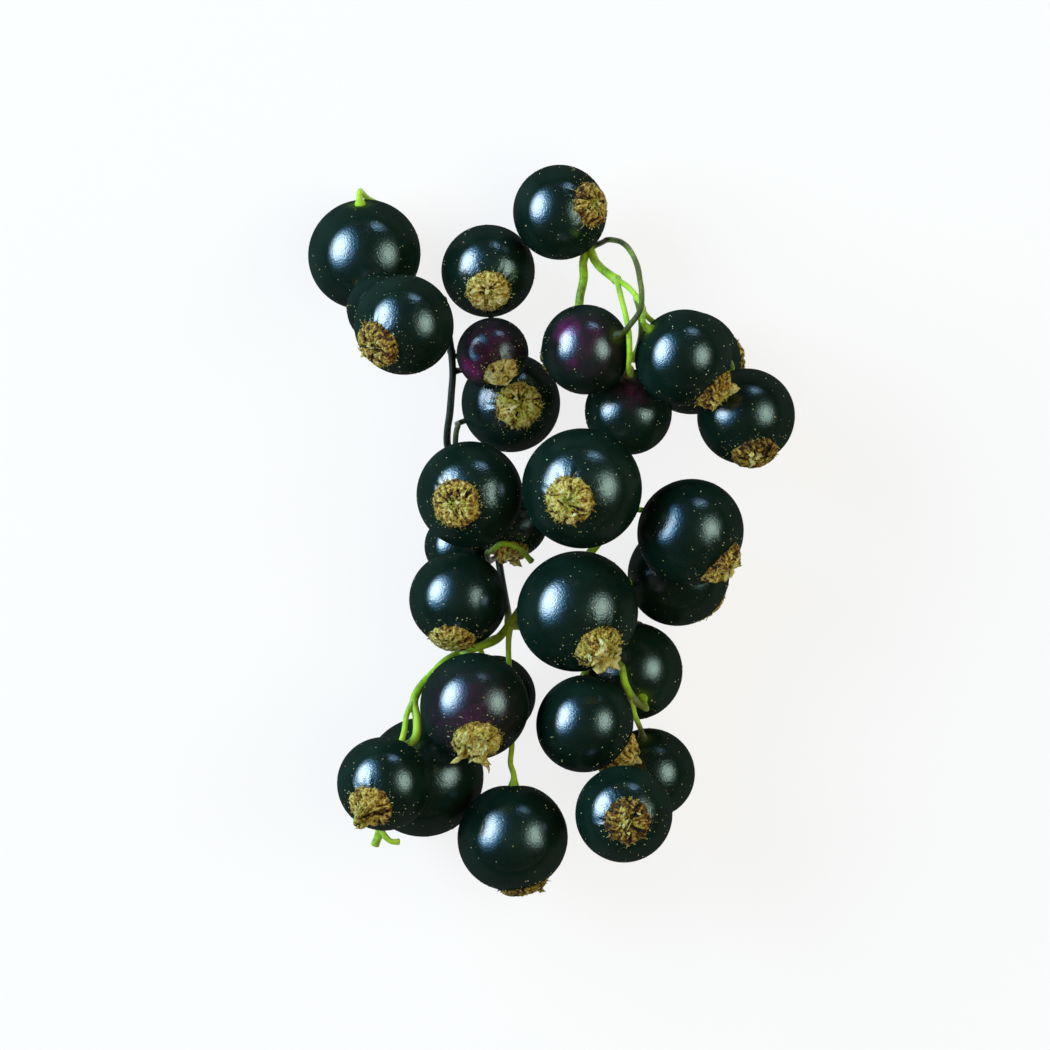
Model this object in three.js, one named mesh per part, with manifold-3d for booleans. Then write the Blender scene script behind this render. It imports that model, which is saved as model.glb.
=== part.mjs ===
// A blackcurrant sprig lying on a surface: the branching stem (the strig), 29 berries, and on each
// berry the dried flower that people pinch off when they top and tail them. Millimetres, +Z up.
import * as THREE from 'three';
import { mergeVertices } from 'three/addons/utils/BufferGeometryUtils.js';
import Module from 'manifold-3d';

const wasm = await Module();
wasm.setup();

const gap = 0.3;              // air left between two pieces that touch
const berrySides = 16;
const berryRings = 9;
const berryFlattening = 0.97; // length along the stalk over width
const flowerSides = 10;
const flowerWidthShare = 0.45; // dried flower's width over the berry's, up to the width below
const flowerWidest = 5.2;
const rachisWidth = 0.95;     // the main stem
const shootWidth = 0.8;       // its side shoots
const stalkWidth = 0.62;      // a berry's own stalk
const collarWidth = 1.2;      // the stalk's flare at the berry
const collarLength = 0.9;
const routeStep = 2.2;        // spacing of the points along a stem
const routeMargin = 0.06;     // more air than the gap, as a stem's own corners need
const threadRounds = 60;
const lastRounds = 12;        // rounds at the end that share nothing, so nothing is left touching
const shootSides = 6;
const stalkSides = 5;

const skinColour = 0x0d1714;
const riperSkinColour = 0x2a1620;
const flowerColour = 0x8a7440;
const stemColour = 0x86a832;

// The dried flower's forms, in shares of its foot's radius: length, waist, mouth, depth of the pit,
// height of the five sepals and how far it is wrung round, in turns
const flowerForms = {
  disc: { length: 0.14, waist: 0.95, mouth: 0.78, pit: 0.08, sepals: 0.04, twist: 0 },
  hollow: { length: 0.22, waist: 0.94, mouth: 0.76, pit: 0.24, sepals: 0.06, twist: 0 },
  fold: { length: 0.34, waist: 0.86, mouth: 0.7, pit: 0.16, sepals: 0.3, twist: 0 },
  brush: { length: 0.42, waist: 0.78, mouth: 0.6, pit: 0.26, sepals: 0.22, twist: 0.05 },
  crown: { length: 0.52, waist: 0.74, mouth: 0.82, pit: 0.4, sepals: 0.32, twist: 0.04 },
  funnel: { length: 0.5, waist: 0.74, mouth: 0.48, pit: 0.2, sepals: 0.2, twist: 0 },
  spike: { length: 1.25, waist: 0.62, mouth: 0.26, pit: 0.12, sepals: 0.1, twist: 0.2 },
};

// Berries from the lowest up: centre, width, the way the dried flower points, and its form.
// The first ten lie on the surface and each later one rests on those before it.
const berries = [
  { x: 15.5, y: 18.2, width: 11.6, flower: [0.85, 0.05, -0.5], form: 'disc' },
  { x: -10.2, y: -1.9, width: 7.4, flower: [-0.1, 0.8, 0.3], form: 'disc' },
  { x: -5.9, y: -18.3, width: 9, flower: [-0.7, -0.5, -0.3], form: 'disc' },
  { x: -4.3, y: 13.8, width: 11.1, flower: [0.18, -0.05, 0.98], form: 'hollow' },
  { x: -13.9, y: -27.3, width: 13.6, flower: [0.5, -0.6, -0.6], form: 'disc' },
  { x: -20.4, y: 30.1, width: 12.7, flower: [0.35, -0.8, -0.45], form: 'disc' },
  { x: -6.8, y: 28.3, width: 10.5, flower: [0, -0.49, 0.87], form: 'hollow' },
  { x: 14.1, y: -5.1, width: 11.6, flower: [0.6, -0.5, -0.6], form: 'disc' },
  { x: 10.9, y: -26.9, width: 10.3, flower: [-0.25, -0.8, -0.5], form: 'disc' },
  { x: 9.1, y: -15.7, width: 11.2, flower: [-0.2, 0.75, -0.45], form: 'disc' },
  { x: -10.1, y: -7.8, width: 11, flower: [-0.13, -0.89, 0.43], form: 'disc' },
  { x: -4.4, y: 0.8, width: 8.6, flower: [0, -0.8, 0.5], form: 'brush' },
  { x: 21.5, y: 12.3, width: 11, flower: [0.2, -0.84, 0.5], form: 'hollow' },
  { x: -18.4, y: 24.1, width: 8.1, flower: [-0.7, -0.1, -0.7], form: 'disc' },
  { x: -6.3, y: 19.2, width: 8.1, flower: [0.26, -0.57, 0.78], form: 'brush' },
  { x: -8.8, y: 3.7, width: 12, flower: [-0.28, -0.18, 0.94], form: 'disc' },
  { x: -18.2, y: -28, width: 10.6, flower: [-0.32, -0.52, 0.78], form: 'spike' },
  { x: 8.6, y: 12.8, width: 9.8, flower: [-0.35, -0.75, -0.55], form: 'disc' },
  { x: 1.1, y: 34.7, width: 10.7, flower: [0.73, 0.18, 0.66], form: 'disc' },
  { x: 15.4, y: -0.4, width: 12.1, flower: [0.62, -0.62, 0.48], form: 'fold' },
  { x: 3.8, y: -21.4, width: 11.1, flower: [0.75, -0.64, -0.12], form: 'funnel' },
  { x: 8.1, y: -31.3, width: 10.9, flower: [0.08, -0.16, 0.98], form: 'hollow' },
  { x: 3, y: -9.1, width: 13.7, flower: [0.38, -0.63, 0.67], form: 'crown' },
  { x: -8.3, y: -19.5, width: 12.2, flower: [0.05, -0.7, 0.71], form: 'crown' },
  { x: 3.9, y: 19.6, width: 10.1, flower: [-0.74, -0.2, -0.6], form: 'disc' },
  { x: -16, y: 22.3, width: 11.3, flower: [-0.58, -0.44, 0.68], form: 'hollow' },
  { x: -4.1, y: -33.9, width: 12.4, flower: [0.22, -0.93, -0.22], form: 'disc' },
  { x: 14.6, y: 18.7, width: 11, flower: [0.68, -0.7, 0.2], form: 'brush' },
  { x: 3.5, y: 4.4, width: 13.5, flower: [-0.23, -0.22, 0.95], form: 'disc' },
];
const berriesOnSurface = 10;
const reddishBerries = [15, 18, 25];

const twoDigits = (number) => String(number).padStart(2, '0');

function aimed(direction) {
  return new THREE.Quaternion().setFromUnitVectors(new THREE.Vector3(0, 1, 0), direction);
}

// A sphere turned on a lathe, a little shorter along its stalk
function berryGeometry(berry) {
  const profile = [];
  for (let ring = 0; ring <= berryRings; ring++) {
    const angle = (Math.PI * ring) / berryRings - Math.PI / 2;
    const across = ring % berryRings === 0 ? 0 : berry.radius * Math.cos(angle);
    profile.push(new THREE.Vector2(across, berry.radius * berryFlattening * Math.sin(angle)));
  }
  return new THREE.LatheGeometry(profile, berrySides).applyQuaternion(aimed(berry.pole));
}

// The dried flower: a foot that follows the berry's skin, a waist, and a mouth with a pit in it.
// Five sepals lift the mouth's rim, and the whole is wrung round towards its tip.
function flowerGeometry(berry) {
  const form = flowerForms[berry.form];
  const foot = berry.footRadius;
  const skin = berry.radius + gap;
  const footHeight = Math.sqrt(skin ** 2 - foot ** 2);
  const tip = skin + form.length * foot;
  const profile = [
    [0, skin],
    [foot * 0.55, Math.sqrt(skin ** 2 - (foot * 0.55) ** 2)],
    [foot, footHeight],
    [foot * 0.97, footHeight + 0.12 * foot],
    [foot * form.waist, (footHeight + tip) / 2],
    [foot * form.mouth, tip],
    [foot * form.mouth * 0.6, tip - form.pit * foot * 0.4],
    [0, tip - form.pit * foot * 0.7],
  ];
  const points = profile.map(([across, along]) => new THREE.Vector2(across, along));
  const geometry = new THREE.LatheGeometry(points, flowerSides);
  const position = geometry.attributes.position;
  for (let i = 0; i < position.count; i++) {
    const point = new THREE.Vector3().fromBufferAttribute(position, i);
    const rise = Math.max(0, (point.y - footHeight) / (tip - footHeight));
    const across = Math.hypot(point.x, point.z);
    const angle = Math.atan2(point.z, point.x);
    const lobe = Math.cos(5 * angle) * rise;
    const wide = across * (1 + 0.4 * form.sepals * lobe);
    const turned = angle + form.twist * 2 * Math.PI * rise;
    const lift = across > 0 ? 0.5 * form.sepals * foot * lobe : 0;
    position.setXYZ(i, wide * Math.cos(turned), point.y + lift, wide * Math.sin(turned));
  }
  return geometry.applyQuaternion(aimed(berry.pole));
}

function lowestPoint(geometry) {
  geometry.computeBoundingBox();
  return geometry.boundingBox.min.z;
}

// A berry on the surface stands on its lowest corner; any other sinks until it meets a berry
// that is already there
function settle(list) {
  list.forEach((berry, index) => {
    berry.radius = berry.width / 2;
    berry.footRadius = Math.min(flowerWidest, flowerWidthShare * berry.width) / 2;
    berry.pole = new THREE.Vector3(...berry.flower).normalize();
    berry.geometry = berryGeometry(berry);
    let height = -lowestPoint(berry.geometry);
    for (const other of index < berriesOnSurface ? [] : list.slice(0, index)) {
      const reach = berry.radius + other.radius + gap;
      const apart = Math.hypot(berry.x - other.x, berry.y - other.y);
      if (apart < reach) {
        height = Math.max(height, other.centre.z + Math.sqrt(reach ** 2 - apart ** 2));
      }
    }
    berry.centre = new THREE.Vector3(berry.x, berry.y, height);
  });
}
settle(berries);

// Balls that no stem may come near: the berries and their dried flowers
const flowerBall = { outside: 0.2, size: 0.95 }; // centre over the skin, radius over the foot's
const balls = berries.flatMap((berry) => [
  { centre: berry.centre, radius: berry.radius },
  {
    centre: berry.centre.clone().addScaledVector(berry.pole, berry.radius + flowerBall.outside),
    radius: berry.footRadius * flowerBall.size,
  },
]);

// Pushes a route's points off the balls and the surface, and shares each push with its neighbours.
// The first and last points stay.
function thread(points, width) {
  const curve = new THREE.CatmullRomCurve3(points);
  const steps = Math.max(3, Math.round(curve.getLength() / routeStep));
  const route = curve.getSpacedPoints(steps);
  const clearance = width / 2 + gap + routeMargin;
  let pushes = route.map(() => new THREE.Vector3());
  for (let round = 0; round < threadRounds; round++) {
    for (let i = 1; i < steps; i++) {
      const point = route[i].clone().add(pushes[i]);
      for (const ball of balls) {
        const depth = ball.radius + clearance - point.distanceTo(ball.centre);
        if (depth > 0) {
          point.addScaledVector(point.clone().sub(ball.centre).normalize(), depth);
        }
      }
      point.z = Math.max(point.z, clearance);
      pushes[i] = point.sub(route[i]);
    }
    if (round < threadRounds - lastRounds) {
      pushes = pushes.map((push, i) => (i === 0 || i === steps ? push
        : push.clone().multiplyScalar(0.5).addScaledVector(pushes[i - 1], 0.25)
          .addScaledVector(pushes[i + 1], 0.25)));
    }
  }
  return route.map((point, i) => point.add(pushes[i]));
}

const stems = [];

function stemPoints(points) {
  return points.map((point) => new THREE.Vector3(...point));
}

// The nearest point of the stems made so far, where a new one grows out
function fork(point) {
  let best = null;
  for (const stem of stems) {
    for (const other of stem.route) {
      if (best === null || other.distanceTo(point) < best.distanceTo(point)) {
        best = other;
      }
    }
  }
  return best.clone();
}

function grow(width, points) {
  const route = stemPoints(points);
  if (stems.length > 0) {
    route[0] = fork(route[0]);
  }
  stems.push({ width, route: thread(route, width) });
}

// The main stem, from its cut end to the last fork
grow(rachisWidth, [
  [-19.2, -34.8, 9.4], [-18.5, -33.4, 9.9], [-19.3, -32.4, 10.4], [-20, -30.4, 11],
  [-19.8, -27.6, 11.8], [-18.4, -25.2, 12.6], [-16.4, -24.2, 13.3], [-14.8, -23, 13.4],
  [-14.6, -20.6, 12.6], [-14.9, -18.2, 11.8], [-13.4, -16.6, 10.8], [-11.6, -14.7, 9.3],
  [-9.4, -13.5, 7.6], [-7.3, -12.8, 7.4], [-5.4, -11.8, 8], [-3.8, -9.6, 8.6], [-1, -6.5, 8],
  [2, -5, 8], [4.5, -2.5, 8], [6.5, 0.5, 9], [6.8, 6, 8], [6.2, 12, 6.4], [5.2, 16, 7.5], [3.6, 21, 8.2],
  [3.1, 24.6, 8.2], [3.5, 26.3, 8], [3.75, 28.3, 7.2], [3.6, 30.2, 5.6], [4.1, 30.9, 5.3],
  [4.7, 29.8, 6.4], [5.6, 28.6, 8.8], [7.3, 27.3, 12.6],
]);

const sideShoots = [
  // under the middle berries to the lower right
  [[-4.4, -10, 8.5], [-1, -11.5, 8.5], [1.5, -13.5, 10], [3.6, -14.2, 10.6], [5.2, -15, 11.8],
    [7.4, -14.5, 12.8], [7.9, -16.1, 12.6], [8.5, -17.6, 12], [9, -18.6, 11.5]],
  // up the left side
  [[-4.2, -9.8, 8.5], [-5.2, -7, 5.4], [-5.8, -4, 4.2], [-6.2, -1, 3.8], [-6.6, 3, 4.5],
    [-9.6, 6.6, 7.5], [-11.3, 9, 10], [-11, 13, 11.8], [-10.7, 18, 11.8], [-11.2, 21.6, 11.2]],
];
sideShoots.forEach((points) => grow(shootWidth, points));

// Stubs that have lost their berries
const bareStubs = [
  [[-5.9, -4, 4.2], [-6.3, -3.6, 9], [-5.5, -2.4, 12.8], [-4.1, -1.5, 14], [-3, -2.5, 13.8],
    [-2, -3.6, 13]],
  [[-18.4, -33.5, 10.3], [-17.6, -34.3, 10], [-16.6, -34.4, 9.6]],
];
bareStubs.forEach((points) => grow(stalkWidth, points));

// Each berry's stalk: points from where it leaves the stem, and the way out of the berry
const stalks = [
  { berry: 18, pole: [0, 0.86, 0.5], points: [[7.3, 27.3, 12.6], [8, 25, 19], [8.7, 22.3, 21.9],
    [8.9, 19.9, 22.1], [8.8, 17.8, 20.3], [8.7, 17.2, 17.5]] },
  { berry: 28, pole: [-0.7, 0.6, 0.35], points: [[7.3, 27.3, 12.6], [8.4, 26.6, 16],
    [9.5, 25.4, 18.2], [10, 24.5, 19.5], [10.5, 23.4, 21]] },
  { berry: 25, pole: [0.72, 0.32, 0.61], points: [[4.1, 30.9, 5.3], [5.2, 32, 7.6],
    [6.2, 32, 10.4], [7.2, 31.8, 12.6], [8.5, 30.7, 16], [9.4, 28.8, 19], [9.8, 26.7, 21.4],
    [10, 24.7, 23], [9.3, 22.8, 23.6], [8.4, 21.9, 23.3]] },
  { berry: 1, pole: [-0.94, 0.04, 0.3], points: [[10.1, 24.4, 18.5], [10, 21.5, 14], [9, 18.6, 9]] },
  { berry: 13, pole: [-0.25, 0.77, -0.59], points: [[10.1, 24.4, 18.5], [11, 22.8, 16.5],
    [14.5, 21.8, 13.2], [18, 19.6, 12.6], [19.8, 18.2, 11.2]] },
  { berry: 19, pole: [0.1, -0.6, -0.75], points: [[3.6, 30.2, 5.6]] },
  { berry: 7, pole: [0.05, -0.75, -0.6], points: [[-10.8, 17, 11.8], [-8.4, 17.8, 8],
    [-6.8, 20.4, 4.5]] },
  { berry: 15, pole: [-0.72, -0.05, -0.69], points: [[-10.7, 18.6, 11.7]] },
  { berry: 26, pole: [0.58, 0.44, -0.68], points: [[-11.2, 21.6, 11.2], [-11.6, 23, 15.5]] },
  { berry: 14, pole: [0.8, -0.4, -0.5], points: [[-11.2, 21.6, 11.2]] },
  { berry: 6, pole: [-0.08, 0.86, 0.5], reach: 0.8, points: [[-11.2, 21.6, 11.2], [-12.8, 22.8, 6.5],
    [-15.2, 25.4, 1.6], [-15.5, 28.4, 1.3], [-15.5, 31.6, 1.3], [-17.5, 34.5, 1.5],
    [-20, 35.9, 2.6], [-21, 36.9, 5.6]] },
  { berry: 4, pole: [-0.78, -0.3, -0.55], points: [[-10.6, 8, 9], [-10.4, 9.8, 7], [-10.1, 11.4, 4]] },
  { berry: 16, pole: [0.28, 0.18, -0.94], points: [[-8.6, 5.4, 6.8], [-7.4, 5, 10.4]] },
  { berry: 12, pole: [-0.9, 0.3, 0.1], points: [[-7.4, 4, 5.2], [-9.4, 2.6, 8]] },
  { berry: 2, pole: [0.9, 0.1, 0.3], points: [[-5.9, -3, 4.1]] },
  { berry: 11, pole: [0.5, 0.3, -0.8], points: [[-5.4, -6.4, 5], [-6.6, -6.6, 5.2]] },
  { berry: 24, pole: [-0.05, 0.7, -0.71], points: [[-9.4, -13.5, 7.6]] },
  { berry: 3, pole: [-0.3, 0.85, 0.3], points: [[-6.3, -12.4, 7.7]] },
  { berry: 5, pole: [0.25, 0.85, -0.2], points: [[-13.4, -16.6, 10.8], [-12.2, -18.6, 7.6]] },
  { berry: 17, pole: [0.3, 0.72, -0.62], points: [[-15, -18.3, 12], [-15.7, -20.4, 13]] },
  { berry: 27, pole: [0.02, 1, 0], points: [[-4.4, -10.6, 8.4], [-4.6, -13.5, 8.6],
    [-4.4, -16, 9.8], [-4.2, -20, 10.2], [-4.2, -24, 10.6], [-4.3, -26, 12]] },
  { berry: 23, pole: [-0.38, 0.63, -0.67], points: [[-3.2, -8.8, 8.6], [-1.2, -5.2, 10.6]] },
  { berry: 21, pole: [0, 0.7, -0.7], points: [[3.6, -14.2, 10.6]] },
  { berry: 22, pole: [-0.08, 0.3, -0.95], points: [[3.6, -14.2, 10.6], [3.4, -17.2, 7.6],
    [4.2, -22, 6.8], [6.6, -28.4, 10.4]] },
  { berry: 10, pole: [0.2, -0.57, 0.8], points: [[9, -18.6, 11.5]] },
  { berry: 9, pole: [-0.15, 0.8, 0.58], points: [[9, -18.6, 11.5], [9.4, -21.1, 10.2]] },
  { berry: 29, pole: [0.23, 0.22, -0.95], points: [[6.6, 1.5, 8.9], [6.4, 3.7, 12.5],
    [5.6, 5.2, 14.3]] },
  { berry: 20, pole: [-0.6, 0.3, -0.75], points: [[6.7, 2.4, 8.8], [9, 2.1, 10.4]] },
  { berry: 8, pole: [-0.95, -0.2, 0.2], points: [[2, -5, 8], [5, -6.4, 7.6]] },
];

for (const stalk of stalks) {
  const berry = berries[stalk.berry - 1];
  const pole = new THREE.Vector3(...stalk.pole).normalize();
  const onPole = (height) => berry.centre.clone().addScaledVector(pole, berry.radius + height);
  grow(stalkWidth, [
    ...stalk.points,
    onPole(stalk.reach ?? gap + collarLength * 1.5).toArray(),
    onPole(gap + collarLength * 0.3).toArray(),
  ]);
  berry.collar = { at: onPole(gap + collarLength / 2), pole };
}

function solid(geometry) {
  const bare = geometry.clone();
  bare.deleteAttribute('normal');
  bare.deleteAttribute('uv');
  const merged = mergeVertices(bare, 1e-4);
  return new wasm.Manifold(new wasm.Mesh({
    numProp: 3,
    vertProperties: new Float32Array(merged.attributes.position.array),
    triVerts: new Uint32Array(merged.index.array),
  }));
}

function geometryOf(manifold) {
  const mesh = manifold.getMesh();
  const geometry = new THREE.BufferGeometry();
  geometry.setAttribute('position', new THREE.BufferAttribute(mesh.vertProperties, 3));
  geometry.setIndex(new THREE.BufferAttribute(mesh.triVerts, 1));
  geometry.computeVertexNormals();
  return geometry;
}

function tube(stem, sides) {
  const section = new THREE.Shape();
  for (let side = 0; side < sides; side++) {
    const angle = (2 * Math.PI * side) / sides;
    const x = (stem.width / 2) * Math.cos(angle);
    const y = (stem.width / 2) * Math.sin(angle);
    if (side === 0) {
      section.moveTo(x, y);
    } else {
      section.lineTo(x, y);
    }
  }
  const path = new THREE.CatmullRomCurve3(stem.route);
  const steps = stem.route.length - 1;
  return new THREE.ExtrudeGeometry(section, { steps, bevelEnabled: false, extrudePath: path });
}

function collarGeometry(collar) {
  const cone = new THREE.CylinderGeometry(stalkWidth / 2, collarWidth / 2, collarLength, shootSides);
  return cone.applyQuaternion(aimed(collar.pole)).translate(...collar.at.toArray());
}

function strigGeometry() {
  let whole = null;
  for (const stem of stems) {
    const piece = solid(tube(stem, stem.width > stalkWidth ? shootSides : stalkSides));
    whole = whole === null ? piece : whole.add(piece);
  }
  for (const berry of berries) {
    whole = whole.add(solid(collarGeometry(berry.collar)));
  }
  return geometryOf(whole);
}

function piece(name, geometry, colour, roughness) {
  const material = new THREE.MeshStandardMaterial({ color: colour, roughness, metalness: 0 });
  const mesh = new THREE.Mesh(geometry, material);
  mesh.name = name;
  return mesh;
}

const sprig = new THREE.Group();
sprig.add(piece('strig', strigGeometry(), stemColour, 0.6));
berries.forEach((berry, index) => {
  const number = index + 1;
  const skin = reddishBerries.includes(number) ? riperSkinColour : skinColour;
  const fruit = piece(`berry_${twoDigits(number)}`, berry.geometry, skin, 0.25);
  const flower = piece(`dried_flower_${twoDigits(number)}`, flowerGeometry(berry), flowerColour, 0.9);
  fruit.position.copy(berry.centre);
  flower.position.copy(berry.centre);
  sprig.add(fruit, flower);
});

// The origin is on the surface, under the middle of the sprig
const box = new THREE.Box3().setFromObject(sprig, true);
sprig.position.set(-(box.min.x + box.max.x) / 2, -(box.min.y + box.max.y) / 2, 0);

export default sprig;
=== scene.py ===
import bpy
import numpy as np
from mathutils import Matrix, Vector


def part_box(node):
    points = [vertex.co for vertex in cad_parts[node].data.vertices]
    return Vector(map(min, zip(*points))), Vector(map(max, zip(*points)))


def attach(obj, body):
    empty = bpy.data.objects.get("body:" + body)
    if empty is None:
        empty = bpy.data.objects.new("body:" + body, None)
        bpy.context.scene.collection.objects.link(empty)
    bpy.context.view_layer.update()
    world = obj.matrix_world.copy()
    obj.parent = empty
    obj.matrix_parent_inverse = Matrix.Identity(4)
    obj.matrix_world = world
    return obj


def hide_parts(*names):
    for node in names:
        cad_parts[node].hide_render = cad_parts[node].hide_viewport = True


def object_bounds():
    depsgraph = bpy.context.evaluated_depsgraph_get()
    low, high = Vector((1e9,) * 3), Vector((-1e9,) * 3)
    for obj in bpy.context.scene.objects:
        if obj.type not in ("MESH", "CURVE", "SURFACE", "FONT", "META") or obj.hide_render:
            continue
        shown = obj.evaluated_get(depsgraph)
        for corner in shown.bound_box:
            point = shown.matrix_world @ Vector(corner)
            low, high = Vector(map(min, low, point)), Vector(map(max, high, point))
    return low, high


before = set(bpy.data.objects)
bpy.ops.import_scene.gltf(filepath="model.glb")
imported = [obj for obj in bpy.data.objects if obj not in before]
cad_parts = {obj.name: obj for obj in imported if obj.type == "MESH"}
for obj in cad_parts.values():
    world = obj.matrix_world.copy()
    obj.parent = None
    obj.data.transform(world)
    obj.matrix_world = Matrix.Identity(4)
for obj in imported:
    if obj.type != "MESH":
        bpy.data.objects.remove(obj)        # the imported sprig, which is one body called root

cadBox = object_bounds()     # the solids' own box, before anything replaces them
mm = 0.001
print("frame loaded with", len(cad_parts), "nodes")

scene = bpy.context.scene
scene.view_settings.view_transform = "Standard"


def toLinear(hexText):
    # an sRGB hex colour as linear red, green, blue and alpha
    parts = np.array([int(hexText[i:i + 2], 16) for i in (1, 3, 5)]) / 255
    linear = np.where(parts <= 0.04045, parts / 12.92, ((parts + 0.055) / 1.055) ** 2.4)
    return (*linear.tolist(), 1.0)


def addNode(tree, kind, settings=None, links=None, stops=None):
    # one shader node, with its properties and free sockets set and its other sockets linked
    node = tree.nodes.new("ShaderNode" + kind)
    for name, value in (settings or {}).items():
        if isinstance(name, int) or name in node.inputs:
            node.inputs[name].default_value = value
        else:
            setattr(node, name, value)
    for name, output in (links or {}).items():
        tree.links.new(output, node.inputs[name])
    for index, (position, colour) in enumerate(stops or []):
        ramp = node.color_ramp.elements
        stop = ramp[index] if index < 2 else ramp.new(position)
        stop.position = position
        stop.color = toLinear(colour)
    return node


def newMaterial(name):
    # an empty node material and its tree
    material = bpy.data.materials.new(name)
    material.use_nodes = True
    material.node_tree.nodes.clear()
    return material, material.node_tree


def finishMaterial(tree, shader):
    # joins the shader to the material's output
    addNode(tree, "OutputMaterial", links={"Surface": shader.outputs[0]})


def unit(direction):
    # the direction over its own length
    return np.asarray(direction, float) / np.linalg.norm(direction)


def across(direction):
    # two unit vectors that make a right-handed set with the direction, then the direction itself
    up = unit(direction)
    side = unit(np.cross(up, (0, 0, 1) if abs(up[2]) < 0.9 else (1, 0, 0)))
    return side, np.cross(up, side), up


def latticeFaces(rings, sides):
    # Point 0 is the first pole, then come the rings, and last the other pole. Quads join
    # neighbouring rings and a fan of triangles closes each end.
    ring, side = np.meshgrid(np.arange(rings - 1), np.arange(sides), indexing="ij")
    here = (1 + ring * sides + side).ravel()
    after = (1 + ring * sides + (side + 1) % sides).ravel()
    quads = np.stack([here, here + sides, after + sides, after], 1)
    first = 1 + np.arange(sides)
    following = 1 + (np.arange(sides) + 1) % sides
    last = (rings - 1) * sides
    top = np.stack([np.zeros(sides, int), first, following], 1)
    bottom = np.stack([np.full(sides, rings * sides + 1), following + last, first + last], 1)
    return [quads, top, bottom]


def repeatFaces(faces, copies, stride):
    # the same faces for every copy, whose points start a stride apart
    starts = stride * np.arange(copies)[:, None, None]
    return [(block + starts).reshape(-1, block.shape[1]) for block in faces]


def ripple(turn, along, waves, rng, lowest=2, highest=9, drift=6.0):
    # A smooth random field that closes round the turn: a sum of cosines whose whole number of
    # waves round, drift along and phase are random. It lies between about -1 and 1.
    field = np.zeros(np.broadcast(turn, along).shape)
    for wave in range(waves):
        count = rng.integers(lowest, highest + 1)
        field += np.cos(count * turn + rng.uniform(-drift, drift) * along + rng.uniform(0, 2 * np.pi))
    return field / np.sqrt(waves)


def crumple(places, size, rng, waves=12):
    # A crumpled sheet's relief, from -1 in its hollows to 1 on its creases: one less the size of
    # a sum of cosines that run a size apart along random directions.
    headings = rng.normal(0, 1, (3, waves))
    headings *= 2 * np.pi / size / np.linalg.norm(headings, axis=0)
    total = np.cos(places @ headings + rng.uniform(0, 2 * np.pi, waves)).sum(-1)
    return np.clip(1 - np.abs(total) * np.sqrt(2 / waves), -1, 1)


def makePiece(name, parts, materials):
    # One smooth-shaded mesh at the origin, from parts that each give points, blocks of faces, a
    # material number and values per point for the named attributes. What rests on the surface
    # is a little flat there, and nothing leaves the solids' box.
    points = np.clip(np.vstack([part["points"] for part in parts]), cadBox[0], cadBox[1])
    faces, materialOf, start = [], [], 0
    for part in parts:
        for block in part["faces"]:
            faces += (block + start).tolist()
            materialOf += [part.get("material", 0)] * len(block)
        start += len(part["points"])
    mesh = bpy.data.meshes.new(name)
    mesh.from_pydata(points.tolist(), [], faces)
    mesh.polygons.foreach_set("use_smooth", np.ones(len(faces), bool))
    mesh.polygons.foreach_set("material_index", np.array(materialOf, np.int32))
    for material in materials:
        mesh.materials.append(material)
    for key, example in parts[0]["values"].items():
        shape = np.shape(example)[1:]
        values = np.concatenate([np.broadcast_to(part["values"][key], (len(part["points"]), *shape))
                                 for part in parts]).astype(np.float32)
        attribute = mesh.attributes.new(key, "FLOAT_VECTOR" if shape else "FLOAT", "POINT")
        attribute.data.foreach_set("vector" if shape else "value", values.ravel())
    mesh.update()
    piece = bpy.data.objects.new(name, mesh)
    scene.collection.objects.link(piece)
    return piece


view = {"distance": 5.0, "width": 115.5 * mm, "x": -2.92 * mm, "y": 0.88 * mm, "sensor": 36.0}

eye = bpy.data.objects.new("camera", bpy.data.cameras.new("camera"))
eye.data.sensor_width = view["sensor"]
eye.data.lens = view["sensor"] * view["distance"] / view["width"]   # a long lens, straight down
eye.data.clip_end = 20
eye.location = (view["x"], view["y"], view["distance"])
scene.collection.objects.link(eye)
scene.camera = eye

floorSettings = {"size": 6.0, "colour": "#fffdf8", "glow": 0.82}


def floorMaterial():
    # White card: matt, so it takes a soft grey shadow. Part of its white is the card's own light.
    material, tree = newMaterial("matt_white_card")
    card = addNode(tree, "BsdfDiffuse", {"Color": toLinear(floorSettings["colour"])})
    light = addNode(tree, "Emission", {"Color": (1, 1, 1, 1), "Strength": 1.0})
    ray = addNode(tree, "LightPath")
    seen = addNode(tree, "Math", {"operation": "MAXIMUM"},
                   {0: ray.outputs["Is Camera Ray"], 1: ray.outputs["Is Glossy Ray"]})
    either = addNode(tree, "Math", {"operation": "MAXIMUM"},
                     {0: seen.outputs[0], 1: ray.outputs["Is Transmission Ray"]})
    share = addNode(tree, "Math", {"operation": "MULTIPLY", 1: floorSettings["glow"]},
                    {0: either.outputs[0]})
    both = addNode(tree, "MixShader",
                   links={0: share.outputs[0], 1: card.outputs[0], 2: light.outputs[0]})
    finishMaterial(tree, both)
    return material


half = floorSettings["size"] / 2
card = bpy.data.meshes.new("floor")
card.from_pydata([(-half, -half, 0), (half, -half, 0), (half, half, 0), (-half, half, 0)], [],
                 [(0, 1, 2, 3)])
card.materials.append(floorMaterial())
floor = bpy.data.objects.new("floor", card)
scene.collection.objects.link(floor)

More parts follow.
